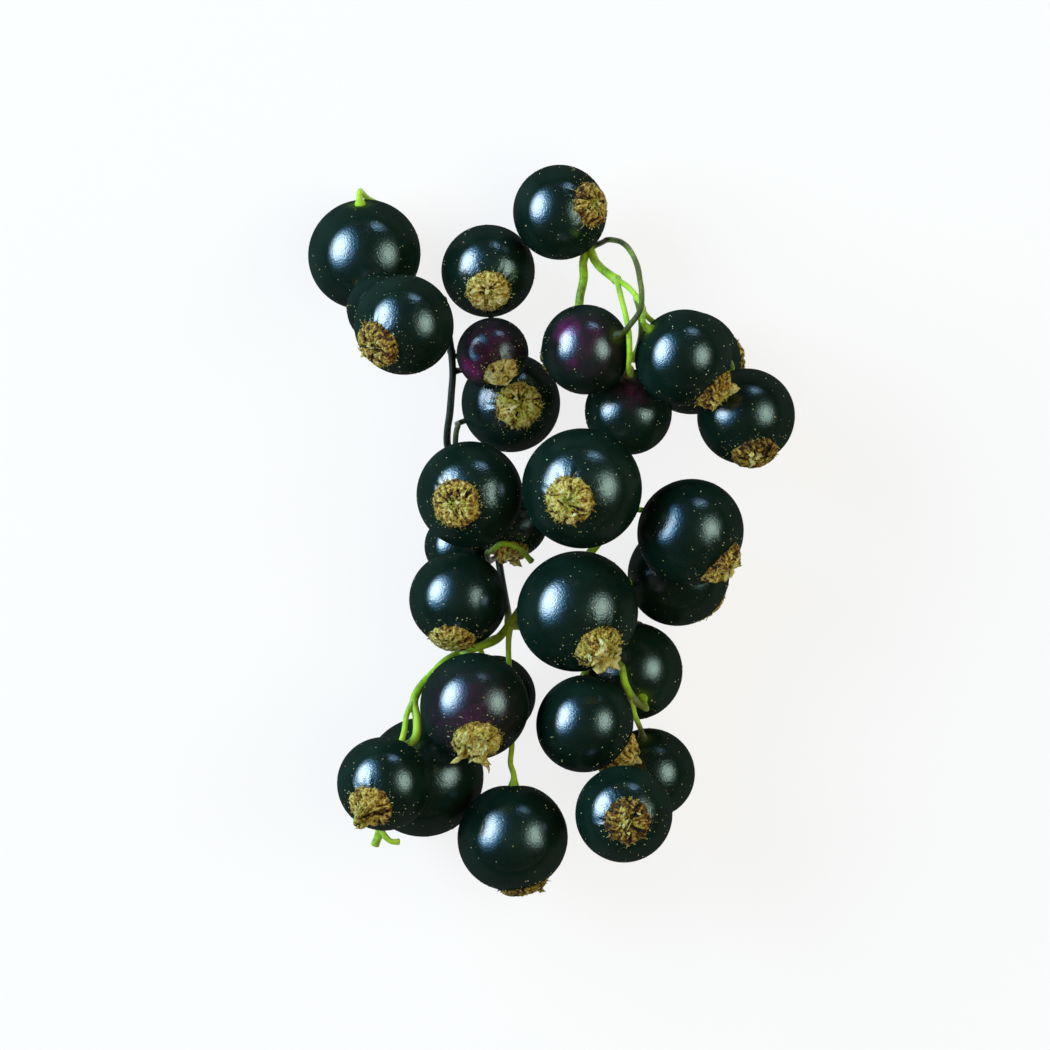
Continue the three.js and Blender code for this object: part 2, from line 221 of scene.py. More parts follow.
# Soft boxes round the table: the way to each from the sprig, its distance, size and light. The
# fill lights what is matt and leaves the berries' gloss alone.
lamps = {
    "left_softbox": {"from": (-0.80, 0.30, 0.52), "far": 1.0, "size": (0.60, 0.82), "watts": 6.8,
                     "colour": "#f0faff"},
    "left_diffuser": {"from": (-0.80, 0.30, 0.52), "far": 1.02, "size": (0.90, 1.14), "watts": 6.0,
                      "colour": "#8accee"},
    "left_window": {"from": (-0.80, 0.30, 0.52), "far": 1.05, "size": (1.26, 1.46), "watts": 7.0,
                    "colour": "#2a8edc"},
    "right_softbox": {"from": (0.75, 0.06, 0.66), "far": 1.1, "size": (0.52, 0.68), "watts": 1.8,
                      "colour": "#dcf7ea"},
    "right_diffuser": {"from": (0.75, 0.06, 0.66), "far": 1.12, "size": (0.78, 0.96), "watts": 1.5,
                       "colour": "#9fcfc4"},
    "back_strip": {"from": (0.34, 0.90, 0.28), "far": 1.1, "size": (0.34, 0.16), "watts": 1.0,
                   "colour": "#9ccdf4"},
    "overhead_fill": {"from": (0.35, -0.1, 1.0), "far": 1.6, "size": (1.6, 1.6), "watts": 12.0,
                      "colour": "#ffe3c0", "gloss": False},
}
for name, lamp in lamps.items():
    light = bpy.data.lights.new(name, "AREA")
    light.shape = "ELLIPSE"
    light.size, light.size_y = lamp["size"]
    light.energy = lamp["watts"]
    light.color = toLinear(lamp["colour"])[:3]
    box = bpy.data.objects.new(name, light)
    back = unit(lamp["from"])
    upright = unit(np.cross(back, np.cross((0, 1, 0), back)))         # the long side follows +Y
    turned = Matrix(np.stack([np.cross(upright, back), upright, back], 1).tolist())
    box.matrix_world = Matrix.Translation(back * lamp["far"]) @ turned.to_4x4()
    box.visible_glossy = lamp.get("gloss", True)
    scene.collection.objects.link(box)

world = bpy.data.worlds.new("studio")
world.use_nodes = True
world.node_tree.nodes["Background"].inputs[0].default_value = toLinear("#d8ecdf")
world.node_tree.nodes["Background"].inputs[1].default_value = 0.015
scene.world = world
print("camera, floor and lamps set")

skinSettings = {
    "sides": 84, "rings": 52,
    "ofSolid": 0.985,          # radius over the solid's outermost corner
    "flattening": 0.97,        # length along the stalk over width
    "lumps": 0.006,            # slow unevenness, as a share of the radius
    "puckers": 0.05 * mm,      # folds of skin round the dried flower
    "stalkDimple": 0.25 * mm,
    "foldReach": 0.22, "bloomReach": 0.3, "scarReach": 0.16,     # radians from flower or stalk
    # Real glands are about 0.1 mm wide, and are drawn wider so that they show. Some gather near
    # the flower: their share, and how far they spread from its edge in radians.
    "glands": 170, "glandWidth": 0.16 * mm, "glandHeight": 0.05 * mm,
    "gathered": 0.45, "gatherReach": 0.22,
}
flowerPlaces = {"widthShare": 0.45, "widest": 5.2 * mm}

# Wine-red patches: berry, direction of the patch's middle from the berry's, reach in radians, strength
flushes = {
    15: [((-0.62, -0.42, 0.7), 0.5, 1.3), ((-0.1, 0.1, 1), 1.1, 0.42)],
    25: [((-0.42, 0.42, 0.8), 0.36, 1.5), ((0.1, 0.1, 1), 1.0, 0.22), ((-0.32, -0.3, 0.9), 0.18, 0.9),
         ((0.2, 0.38, 0.9), 0.25, 0.6)],
    18: [((0.1, 0.45, 0.85), 0.4, 0.6)],
    24: [((-0.1, -0.25, 0.95), 1.0, 0.3)],
}


def readBerry(number):
    # where the solid berry and its dried flower are, and how large
    node = f"berry_{number:02d}"
    low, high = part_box(node)
    centre = (np.array(low) + np.array(high)) / 2
    corners = np.array([corner.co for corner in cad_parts[node].data.vertices])
    flower = np.array([corner.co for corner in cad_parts[f"dried_flower_{number:02d}"].data.vertices])
    reach = np.linalg.norm(corners - centre, axis=1).max()
    foot = min(flowerPlaces["widest"], flowerPlaces["widthShare"] * 2 * reach) / 2
    return {"number": number, "centre": centre, "reach": reach, "foot": foot,
            "radius": reach * skinSettings["ofSolid"], "pole": unit(flower.mean(0) - centre)}


berries = {number: readBerry(number) for number in range(1, 30)}


def skinHeight(berry, directions):
    # Distance of the skin from the middle for unit directions: a ball that is a little short
    # along its stalk, with slow lumps, folds round the dried flower and a dimple at the stalk.
    rng = np.random.default_rng(100 + berry["number"])
    side, rise, pole = across(berry["pole"])
    along = directions @ pole
    fromPole = np.arccos(np.clip(along, -1, 1))
    turn = np.arctan2(directions @ rise, directions @ side)
    height = berry["radius"] * (1 - (1 - skinSettings["flattening"]) * along ** 2)
    slow = np.cos(directions @ rng.normal(0, 2.2, (3, 5)) + rng.uniform(0, 2 * np.pi, 5)).mean(-1)
    height -= berry["radius"] * skinSettings["lumps"] * (1 + slow)
    edge = np.arcsin(berry["foot"] / berry["radius"])
    past = np.clip(fromPole - edge, 0, None) / skinSettings["foldReach"]
    fold = ripple(turn, fromPole, 6, rng, 9, 26, 3.0)
    height += skinSettings["puckers"] * (0.6 * fold - 0.6) * np.exp(-past ** 2)
    fromStalk = np.arccos(np.clip(directions @ berry["stalk"], -1, 1))
    dimple = np.exp(-(fromStalk / skinSettings["foldReach"]) ** 2)
    return height - skinSettings["stalkDimple"] * dimple


def glandMesh(berry, rng):
    # Glands: low six-sided domes on the skin, thickest near the dried flower
    count = skinSettings["glands"]
    side, rise, pole = across(berry["pole"])
    edge = np.arcsin(berry["foot"] / berry["radius"])
    near = rng.random(count) < skinSettings["gathered"]
    fromPole = np.where(near, edge + np.abs(rng.normal(0, skinSettings["gatherReach"], count)),
                        np.arccos(rng.uniform(-1, np.cos(edge), count)))
    turn = rng.uniform(0, 2 * np.pi, count)
    spoke = np.cos(turn)[:, None] * side + np.sin(turn)[:, None] * rise
    out = np.cos(fromPole)[:, None] * pole + np.sin(fromPole)[:, None] * spoke
    size = rng.uniform(0.5, 1.15, count)[:, None, None]
    one = np.cross(out, (0.3, 0.5, 0.81))
    one /= np.linalg.norm(one, axis=1)[:, None]
    two = np.cross(out, one)
    angle = np.arange(6) * np.pi / 3
    spokes = np.cos(angle)[None, :, None] * one[:, None, :] + np.sin(angle)[None, :, None] * two[:, None, :]
    middle = (out * skinHeight(berry, out)[:, None])[:, None, :]
    width = skinSettings["glandWidth"] / 2
    tall = skinSettings["glandHeight"]
    lift = out[:, None, :]
    points = np.concatenate([middle + lift * tall * size,
                             middle + spokes * width * 0.6 * size + lift * tall * 0.75 * size,
                             middle + spokes * width * size - lift * tall * 0.6], 1)
    here = np.arange(6)
    after = (here + 1) % 6
    cap = np.stack([np.zeros(6, int), 1 + here, 1 + after], 1)
    skirt = np.stack([1 + here, 7 + here, 7 + after, 1 + after], 1)
    return points.reshape(-1, 3), repeatFaces([cap, skirt], count, 13)


def berryPiece(berry, materials):
    # The skin is a grid of angle from the flower's pole by turn round it, raised to skinHeight.
    rng = np.random.default_rng(200 + berry["number"])
    rings, sides = skinSettings["rings"], skinSettings["sides"]
    side, rise, pole = across(berry["pole"])
    edge = np.arcsin(berry["foot"] / berry["radius"])
    even = (np.arange(rings) + 0.5) / rings
    fromPole = np.pi * even - 0.5 * edge * np.sin(2 * np.pi * even)    # closer rings by the flower
    turn = 2 * np.pi * np.arange(sides) / sides
    spoke = np.cos(turn)[:, None] * side + np.sin(turn)[:, None] * rise
    out = np.cos(fromPole)[:, None, None] * pole + np.sin(fromPole)[:, None, None] * spoke
    out = np.vstack([pole, out.reshape(-1, 3), -pole])
    flush = np.zeros(len(out))
    for direction, reach, strength in flushes.get(berry["number"], []):
        apart = np.arccos(np.clip(out @ unit(direction), -1, 1))
        flush = np.maximum(flush, strength * np.exp(-2 * (apart / reach) ** 2))
    past = np.clip(np.arccos(np.clip(out @ pole, -1, 1)) - edge, 0, None)
    fromStalk = np.arccos(np.clip(out @ berry["stalk"], -1, 1))
    scar = np.exp(-(fromStalk / skinSettings["scarReach"]) ** 2)
    skin = {"points": out * skinHeight(berry, out)[:, None] + berry["centre"],
            "faces": latticeFaces(rings, sides),
            "values": {"flush": flush, "scar": scar,
                       "bloom": np.exp(-(past / skinSettings["bloomReach"]) ** 2)}}
    dots, dotFaces = glandMesh(berry, rng)
    glands = {"points": dots + berry["centre"], "faces": dotFaces, "material": 1,
              "values": {"flush": 0, "bloom": 0, "scar": 0}}
    piece = makePiece(f"blackcurrant_{berry['number']:02d}", [skin, glands], materials)
    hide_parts(f"berry_{berry['number']:02d}")
    return piece


def skinMaterial():
    # Ripe blackcurrant skin: nearly black under a film of wax. The wax gives a large soft
    # reflection whose edge breaks up on the skin's grain. Its gloss dies away towards the
    # berry's rim, where the grains of wax hide each other, so the rim stays dark.
    material, tree = newMaterial("waxy_blackcurrant_skin")
    place = addNode(tree, "TexCoord").outputs["Object"]
    flush, bloom, scar = (addNode(tree, "Attribute", {"attribute_name": key}).outputs["Fac"]
                          for key in ("flush", "bloom", "scar"))
    slow = addNode(tree, "TexNoise", {"Scale": 1 / (4 * mm), "Detail": 2.0}, {"Vector": place})
    tone = addNode(tree, "ValToRGB", links={"Fac": slow.outputs["Fac"]},
                   stops=[(0.3, "#0b1c14"), (0.7, "#142920")])
    patch = addNode(tree, "TexNoise", {"Scale": 1 / (0.9 * mm), "Detail": 3.0},
                    {"Vector": place})
    patchy = addNode(tree, "MapRange", {"From Min": 0.35, "From Max": 0.65, "To Min": 0.3},
                     {"Value": patch.outputs["Fac"]})
    wine = addNode(tree, "Math", {"operation": "MULTIPLY"},
                   {0: flush, 1: patchy.outputs[0]})
    withWine = addNode(tree, "Mix", {"data_type": "RGBA", 7: toLinear("#7a2260")},
                       {0: wine.outputs[0], 6: tone.outputs[0]})
    green = addNode(tree, "Math", {"operation": "MULTIPLY", 1: 0.75}, {0: scar})
    withScar = addNode(tree, "Mix", {"data_type": "RGBA", 7: toLinear("#5c7a22")},
                       {0: green.outputs[0], 6: withWine.outputs[2]})
    # Grains of wax are a few hundredths of a millimetre, and are drawn at 0.2 mm so that they show
    grain = addNode(tree, "TexNoise", {"Scale": 1 / (0.2 * mm), "Detail": 3.0},
                    {"Vector": place})
    pores = addNode(tree, "TexNoise", {"Scale": 1 / (0.8 * mm), "Detail": 1.0},
                    {"Vector": place})
    dull = addNode(tree, "Math", {"operation": "MULTIPLY_ADD", 1: 0.15, 2: 0.4}, {0: bloom})
    coarse = addNode(tree, "Bump", {"Strength": 0.5, "Distance": 0.02 * mm},
                     {"Height": pores.outputs["Fac"]})
    fine = addNode(tree, "Bump", {"Strength": 1.0, "Distance": 0.031 * mm},
                   {"Height": grain.outputs["Fac"], "Normal": coarse.outputs[0]})
    facing = addNode(tree, "LayerWeight", {"Blend": 0.5})
    gloss = addNode(tree, "MapRange", {"interpolation_type": "SMOOTHSTEP", "From Min": 0.15,
                                       "From Max": 0.265, "To Min": 1.0, "To Max": 0.03},
                    {"Value": facing.outputs["Facing"]})
    # Plant wax is near IOR 1.45. The coat's is higher, for a shine as strong as the real one.
    skin = addNode(tree, "BsdfPrincipled",
                   {"IOR": 1.40, "Specular IOR Level": 0.0, "Coat Roughness": 0.2, "Coat IOR": 2.4},
                   {"Base Color": withScar.outputs[2], "Roughness": dull.outputs[0],
                    "Coat Weight": gloss.outputs[0], "Normal": fine.outputs[0],
                    "Coat Normal": fine.outputs[0]})
    finishMaterial(tree, skin)
    return material


def glandMaterial():
    # Dried resin glands: pale straw specks that catch the light
    material, tree = newMaterial("dried_resin_gland")
    place = addNode(tree, "TexCoord").outputs["Object"]
    mixed = addNode(tree, "TexNoise", {"Scale": 1 / (1.0 * mm), "Detail": 0.0},
                    {"Vector": place})
    tone = addNode(tree, "ValToRGB", links={"Fac": mixed.outputs["Fac"]},
                   stops=[(0.3, "#4c4c26"), (0.72, "#eeecb4"), (0.5, "#a8a454")])
    gland = addNode(tree, "BsdfPrincipled", {"Roughness": 0.55, "IOR": 1.5},
                    {"Base Color": tone.outputs[0]})
    finishMaterial(tree, gland)
    return material


# Widths, lengths and routes in mm. Each stem starts on the nearest point of those before it and
# keeps that one's shade for about its fade. The shade runs from 0, fresh green, through olive to 1,
# nearly black; the darkest stems are partly painted shade.
stemSettings = {"rachis": 0.95, "shoot": 0.8, "stalk": 0.62, "collar": 1.2, "collarLength": 0.9,
                "inBerry": 0.3, "gap": 0.3, "margin": 0.06, "coarse": 2.2, "fine": 0.3, "fade": 2.0,
                "sides": 12, "rounds": 60, "lastRounds": 12,
                "forkSwell": 0.5, "forkReach": 0.9, "flareFrom": 0.35, "flareReach": 0.55,
                "tipSwell": 0.18, "tipReach": 0.5, "blushReach": 1.3, "uneven": 0.05, "mottle": 0.2}

mainStem = [
    (-19.2, -34.8, 9.4), (-18.5, -33.4, 9.9), (-19.3, -32.4, 10.4), (-20, -30.4, 11),
    (-19.8, -27.6, 11.8), (-18.4, -25.2, 12.6), (-16.4, -24.2, 13.3), (-14.8, -23, 13.4),
    (-14.6, -20.6, 12.6), (-14.9, -18.2, 11.8), (-13.4, -16.6, 10.8), (-11.6, -14.7, 9.3),
    (-9.4, -13.5, 7.6), (-7.3, -12.8, 7.4), (-5.4, -11.8, 8), (-3.8, -9.6, 8.6), (-1, -6.5, 8),
    (2, -5, 8), (4.5, -2.5, 8), (6.5, 0.5, 9), (6.8, 6, 8), (6.2, 12, 6.4), (5.2, 16, 7.5),
    (3.6, 21, 8.2), (3.1, 24.6, 8.2), (3.5, 26.3, 8), (3.75, 28.3, 7.2), (3.6, 30.2, 5.6),
    (4.1, 30.9, 5.3), (4.7, 29.8, 6.4), (5.6, 28.6, 8.8), (7.3, 27.3, 12.6),
]
sideShoots = [
    {"shade": 0.4, "points": [
        (-4.4, -10, 8.5), (-1, -11.5, 8.5), (1.5, -13.5, 10), (3.6, -14.2, 10.6), (5.2, -15, 11.8),
        (7.4, -14.5, 12.8), (7.9, -16.1, 12.6), (8.5, -17.6, 12), (9, -18.6, 11.5)]},
    # Nearly black, as are the stalks of berries 4, 7 and 15 that leave it: partly the stem's own dark
    # colour and partly painted shade, for it runs deep among the berries.
    {"shade": 1.0, "points": [
        (-4.2, -9.8, 8.5), (-5.2, -7, 5.4), (-5.8, -4, 4.2), (-6.2, -1, 3.8), (-6.6, 3, 4.5),
        (-9.6, 6.6, 7.5), (-11.3, 9, 10), (-11, 13, 11.8), (-10.7, 18, 11.8), (-11.2, 21.6, 11.2)]},
]
bareStubs = [
    {"shade": 0.15, "fade": 11.5, "points": [
        (-5.9, -4, 4.2), (-6.3, -3.6, 9), (-5.5, -2.4, 12.8), (-4.1, -1.5, 14), (-3, -2.5, 13.8),
        (-2, -3.6, 13)]},
    {"shade": 0.1, "points": [(-18.4, -33.5, 10.3), (-17.6, -34.3, 10), (-16.6, -34.4, 9.6)]},
]
# Each berry's stalk: the way out of the berry at its end, its shade and its points. One has a blush,
# red at the berry, and one a reach, which is how far from the berry its straight end starts.
stalks = {
    18: {"pole": (0, 0.86, 0.5), "shade": 0.05, "blush": 1.0, "points": [
        (7.3, 27.3, 12.6), (8, 25, 19), (8.7, 22.3, 21.9), (8.9, 19.9, 22.1), (8.8, 17.8, 20.3),
        (8.7, 17.2, 17.5)]},
    28: {"pole": (-0.7, 0.6, 0.35), "shade": 0.1, "points": [
        (7.3, 27.3, 12.6), (8.4, 26.6, 16), (9.5, 25.4, 18.2), (10, 24.5, 19.5), (10.5, 23.4, 21)]},
    25: {"pole": (0.72, 0.32, 0.61), "shade": 0.68, "points": [
        (4.1, 30.9, 5.3), (5.2, 32, 7.6), (6.2, 32, 10.4), (7.2, 31.8, 12.6), (8.5, 30.7, 16),
        (9.4, 28.8, 19), (9.8, 26.7, 21.4), (10, 24.7, 23), (9.3, 22.8, 23.6), (8.4, 21.9, 23.3)]},
    1: {"pole": (-0.94, 0.04, 0.3), "shade": 0.2, "points": [
        (10.1, 24.4, 18.5), (10, 21.5, 14), (9, 18.6, 9)]},
    13: {"pole": (-0.25, 0.77, -0.59), "shade": 0.2, "points": [
        (10.1, 24.4, 18.5), (11, 22.8, 16.5), (14.5, 21.8, 13.2), (18, 19.6, 12.6),
        (19.8, 18.2, 11.2)]},
    19: {"pole": (0.1, -0.6, -0.75), "shade": 0.3, "points": [(3.6, 30.2, 5.6)]},
    7: {"pole": (0.05, -0.75, -0.6), "shade": 0.8, "points": [
        (-10.8, 17, 11.8), (-8.4, 17.8, 8), (-6.8, 20.4, 4.5)]},
    15: {"pole": (-0.72, -0.05, -0.69), "shade": 0.8, "points": [(-10.7, 18.6, 11.7)]},
    26: {"pole": (0.58, 0.44, -0.68), "shade": 0.6, "points": [
        (-11.2, 21.6, 11.2), (-11.6, 23, 15.5)]},
    14: {"pole": (0.8, -0.4, -0.5), "shade": 0.6, "points": [(-11.2, 21.6, 11.2)]},
    6: {"pole": (-0.08, 0.95, 0.32), "shade": 0.1, "reach": 0.8, "points": [
        (-11.2, 21.6, 11.2), (-12.8, 22.8, 6.5), (-15.2, 25.4, 1.6), (-15.5, 28.4, 1.3),
        (-15.5, 31.6, 1.3), (-17.5, 34.5, 1.5), (-20, 35.9, 2.6)]},
    4: {"pole": (-0.78, -0.3, -0.55), "shade": 0.9, "points": [
        (-10.6, 8, 9), (-10.4, 9.8, 7), (-10.1, 11.4, 4)]},
    16: {"pole": (0.28, 0.18, -0.94), "shade": 0.4, "points": [
        (-8.6, 5.4, 6.8), (-7.4, 5, 10.4)]},
    12: {"pole": (-0.9, 0.3, 0.1), "shade": 0.4, "points": [
        (-7.4, 4, 5.2), (-9.4, 2.6, 8)]},
    2: {"pole": (0.9, 0.1, 0.3), "shade": 0.4, "points": [(-5.9, -3, 4.1)]},
    11: {"pole": (0.5, 0.3, -0.8), "shade": 0.4, "points": [
        (-5.4, -6.4, 5), (-6.6, -6.6, 5.2)]},
    24: {"pole": (-0.05, 0.7, -0.71), "shade": 0.2, "points": [(-9.4, -13.5, 7.6)]},
    3: {"pole": (-0.3, 0.85, 0.3), "shade": 0.2, "points": [(-6.3, -12.4, 7.7)]},
    5: {"pole": (0.25, 0.85, -0.2), "shade": 0.1, "points": [
        (-13.4, -16.6, 10.8), (-12.2, -18.6, 7.6)]},
    17: {"pole": (0.3, 0.72, -0.62), "shade": 0.1, "points": [
        (-15, -18.3, 12), (-15.7, -20.4, 13)]},
    27: {"pole": (0.02, 1, 0), "shade": 0.25, "points": [
        (-4.4, -10.6, 8.4), (-4.6, -13.5, 8.6), (-4.4, -16, 9.8), (-4.2, -20, 10.2),
        (-4.2, -24, 10.6), (-4.3, -26, 12)]},
    23: {"pole": (-0.38, 0.63, -0.67), "shade": 0.3, "points": [
        (-3.2, -8.8, 8.6), (-1.2, -5.2, 10.6)]},
    21: {"pole": (0, 0.7, -0.7), "shade": 0.2, "points": [(3.6, -14.2, 10.6)]},
    22: {"pole": (-0.08, 0.3, -0.95), "shade": 0.2, "points": [
        (3.6, -14.2, 10.6), (3.4, -17.2, 7.6), (4.2, -22, 6.8), (6.6, -28.4, 10.4)]},
    10: {"pole": (0.2, -0.57, 0.8), "shade": 0.55, "points": [(9, -18.6, 11.5)]},
    9: {"pole": (-0.15, 0.8, 0.58), "shade": 0.5, "points": [
        (9, -18.6, 11.5), (9.4, -21.1, 10.2)]},
    29: {"pole": (0.23, 0.22, -0.95), "shade": 0.3, "points": [
        (6.6, 1.5, 8.9), (6.4, 3.7, 12.5), (5.6, 5.2, 14.3)]},
    20: {"pole": (-0.6, 0.3, -0.75), "shade": 0.3, "points": [
        (6.7, 2.4, 8.8), (9, 2.1, 10.4)]},
    8: {"pole": (-0.95, -0.2, 0.2), "shade": 0.4, "points": [(2, -5, 8), (5, -6.4, 7.6)]},
}
# The routes are written from a point that berry 29 lies 3.5 mm right of and 4.4 mm above
routeOrigin = berries[29]["centre"] - np.array([3.5 * mm, 4.4 * mm, 0])
routeOrigin[2] = 0


def smoothCurve(points, step):
    # A centripetal Catmull-Rom spline through the points, cut at even distances along it
    points = np.asarray(points, float)
    padded = np.vstack([2 * points[0] - points[1], points, 2 * points[-1] - points[-2]])
    span = np.maximum(np.linalg.norm(np.diff(padded, axis=0), axis=1), 1e-7) ** 0.5
    before, here, after = (span[i:len(span) - 2 + i, None] for i in range(3))
    p0, p1, p2, p3 = (padded[i:len(padded) - 3 + i] for i in range(4))
    leave = here * ((p1 - p0) / before - (p2 - p0) / (before + here) + (p2 - p1) / here)
    arrive = here * ((p2 - p1) / here - (p3 - p1) / (here + after) + (p3 - p2) / after)
    t = np.linspace(0, 1, 33)[:-1, None, None]
    curve = ((2 * t ** 3 - 3 * t ** 2 + 1) * p1 + (t ** 3 - 2 * t ** 2 + t) * leave
             + (3 * t ** 2 - 2 * t ** 3) * p2 + (t ** 3 - t ** 2) * arrive)
    curve = np.vstack([curve.transpose(1, 0, 2).reshape(-1, 3), points[-1]])
    length = np.append(0, np.cumsum(np.linalg.norm(np.diff(curve, axis=0), axis=1)))
    count = max(3, round(length[-1] / step))
    stations = np.linspace(0, length[-1], count + 1)
    return np.stack([np.interp(stations, length, curve[:, axis]) for axis in range(3)], 1)


balls = [(berry["centre"], berry["reach"]) for berry in berries.values()]
balls += [(berry["centre"] + berry["pole"] * (berry["reach"] + 0.2 * mm), berry["foot"] * 0.95)
          for berry in berries.values()]


def thread(points, width):
    # Pushes the route off the berries, their flowers and the surface, and shares each push with
    # its neighbours. Its ends stay.
    route = smoothCurve(points, stemSettings["coarse"] * mm)
    room = width / 2 + (stemSettings["gap"] + stemSettings["margin"]) * mm
    pushes = np.zeros_like(route)
    for number in range(stemSettings["rounds"]):
        moved = route + pushes
        for centre, reach in balls:
            away = moved - centre
            far = np.linalg.norm(away, axis=1)[:, None]
            moved = moved + away / far * np.clip(reach + room - far, 0, None)
        moved[:, 2] = np.maximum(moved[:, 2], room)
        pushes[1:-1] = (moved - route)[1:-1]
        if number < stemSettings["rounds"] - stemSettings["lastRounds"]:
            pushes[1:-1] = 0.5 * pushes[1:-1] + 0.25 * (pushes[:-2] + pushes[2:])
    return route + pushes


stems = []


def growStem(stem, width, points, berry=None):
    # A stem that starts on the nearest one before it, and takes that one's shade there
    points = np.array(points, float) * mm + routeOrigin
    parentShade = stem["shade"]
    if stems:
        known = np.vstack([other["route"] for other in stems])
        nearest = np.argmin(np.linalg.norm(known - points[0], axis=1))
        points[0] = known[nearest]
        parentShade = np.repeat([other["shade"] for other in stems],
                                [len(other["route"]) for other in stems])[nearest]
    stems.append({"route": thread(points, width * mm), "width": width * mm, "shade": stem["shade"],
                  "parentShade": parentShade, "fade": stem.get("fade", stemSettings["fade"]) * mm,
                  "berry": berry, "blush": stem.get("blush", 0.0)})


growStem({"shade": 0.15}, stemSettings["rachis"], mainStem)
for shoot in sideShoots:
    growStem(shoot, stemSettings["shoot"], shoot["points"])
for stub in bareStubs:
    growStem(stub, stemSettings["stalk"], stub["points"])
for number, stalk in stalks.items():
    berry = berries[number]
    pole = unit(stalk["pole"])
    berry["stalk"] = pole
    listed = (berry["centre"] - routeOrigin) / mm
    gap, collar = stemSettings["gap"], stemSettings["collarLength"]
    ends = [listed + pole * (berry["reach"] / mm + height)
            for height in (stalk.get("reach", gap + 1.5 * collar), gap + 0.3 * collar)]
    growStem(stalk, stemSettings["stalk"], [*stalk["points"], *ends], berry)


def tubeMesh(stem, rng):
    # A section carried along the route without twist. Its radius swells where it leaves its
    # parent and flares into a collar where it meets a berry.
    route = stem["route"]
    forked = stem is not stems[0]
    if stem["berry"] is not None:
        berry = stem["berry"]
        depth = skinHeight(berry, berry["stalk"][None])[0] - stemSettings["inBerry"] * mm
        route = np.vstack([route, berry["centre"] + berry["stalk"] * depth])
    route = smoothCurve(route, stemSettings["fine"] * mm)
    count, sides = len(route), stemSettings["sides"]
    heading = np.gradient(route, axis=0)
    heading /= np.linalg.norm(heading, axis=1)[:, None]
    side = np.zeros_like(route)
    side[0] = across(heading[0])[0]
    for i in range(1, count):
        side[i] = unit(side[i - 1] - heading[i] * (side[i - 1] @ heading[i]))
    other = np.cross(side, heading)
    length = np.append(0, np.cumsum(np.linalg.norm(np.diff(route, axis=0), axis=1)))
    left = length[-1] - length
    fork = forked * np.exp(-(length / (stemSettings["forkReach"] * mm)) ** 2)
    swell = 1 + stemSettings["forkSwell"] * fork
    if stem["berry"] is not None:
        flare = stemSettings["collar"] / stemSettings["stalk"] - 1
        outside = np.clip(left - stemSettings["flareFrom"] * mm, 0, None)
        swell += flare * np.exp(-(outside / (stemSettings["flareReach"] * mm)) ** 2)
    else:
        swell += stemSettings["tipSwell"] * np.exp(-(left / (stemSettings["tipReach"] * mm)) ** 2)
    turn = 2 * np.pi * np.arange(sides) / sides
    lumps = ripple(turn[None, :], length[:, None] / (2 * mm), 6, rng, 1, 5, 3.0)
    uneven = 1 + stemSettings["uneven"] * lumps
    radius = (stem["width"] / 2 * swell)[:, None] * uneven
    spoke = np.cos(turn)[None, :, None] * side[:, None, :] + np.sin(turn)[None, :, None] * other[:, None, :]
    tube = route[:, None, :] + radius[..., None] * spoke
    mottle = ripple(np.zeros(count), length / (3 * mm), 4, rng, 1, 4, 3.0)
    shade = stem["shade"] + stemSettings["mottle"] * mottle
    shade += (stem["parentShade"] - stem["shade"]) * np.exp(-(length / stem["fade"]) ** 2)
    joint = (1 - stem["parentShade"]) * fork
    blush = stem["blush"] * np.exp(-(left / (stemSettings["blushReach"] * mm)) ** 2)

    def spread(values):
        return np.concatenate([values[:1], np.repeat(values, sides), values[-1:]])

    return {"points": np.vstack([route[:1], tube.reshape(-1, 3), route[-1:]]),
            "faces": latticeFaces(count, sides),
            "values": {"shade": spread(np.clip(shade, 0, 1)), "joint": spread(joint),
                       "blush": spread(blush)}}


def stemMaterial():
    # Young currant stem: a fresh green skin, olive and brown where it has hardened and nearly black
    # where painted shade is added, paler at the joints, red where it meets one berry, with fine rough
    # streaks and a satin face.
    material, tree = newMaterial("fresh_green_stem_skin")
    place = addNode(tree, "TexCoord").outputs["Object"]
    shade, joint, blush = (addNode(tree, "Attribute", {"attribute_name": key}).outputs["Fac"]
                           for key in ("shade", "joint", "blush"))
    speck = addNode(tree, "TexNoise", {"Scale": 1 / (0.45 * mm), "Detail": 4.0},
                    {"Vector": place})
    uneven = addNode(tree, "Math", {"operation": "MULTIPLY_ADD", 1: 0.5, 2: -0.25},
                     {0: speck.outputs["Fac"]})
    depth = addNode(tree, "Math", {"operation": "ADD"}, {0: shade, 1: uneven.outputs[0]})
    tone = addNode(tree, "ValToRGB", links={"Fac": depth.outputs[0]},
                   stops=[(0.0, "#c4e83e"), (1.0, "#0f1810"), (0.22, "#9ecc22"), (0.5, "#66742a"),
                          (0.75, "#2f371c")])
    pale = addNode(tree, "Math", {"operation": "MULTIPLY"},
                   {0: joint, 1: speck.outputs["Fac"]})
    withJoint = addNode(tree, "Mix", {"data_type": "RGBA", 7: toLinear("#c3cb92")},
                        {0: pale.outputs[0], 6: tone.outputs[0]})
    withBlush = addNode(tree, "Mix", {"data_type": "RGBA", 7: toLinear("#8c5a68")},
                        {0: blush, 6: withJoint.outputs[2]})
    hairs = addNode(tree, "Bump", {"Strength": 0.6, "Distance": 0.06 * mm},
                    {"Height": speck.outputs["Fac"]})
    stem = addNode(tree, "BsdfPrincipled",
                   {"Roughness": 0.5, "IOR": 1.42, "Subsurface Weight": 0.12,
                    "Subsurface Radius": (0.5, 0.6, 0.1), "Subsurface Scale": 0.5 * mm},
                   {"Base Color": withBlush.outputs[2], "Normal": hairs.outputs[0]})
    finishMaterial(tree, stem)
    return material


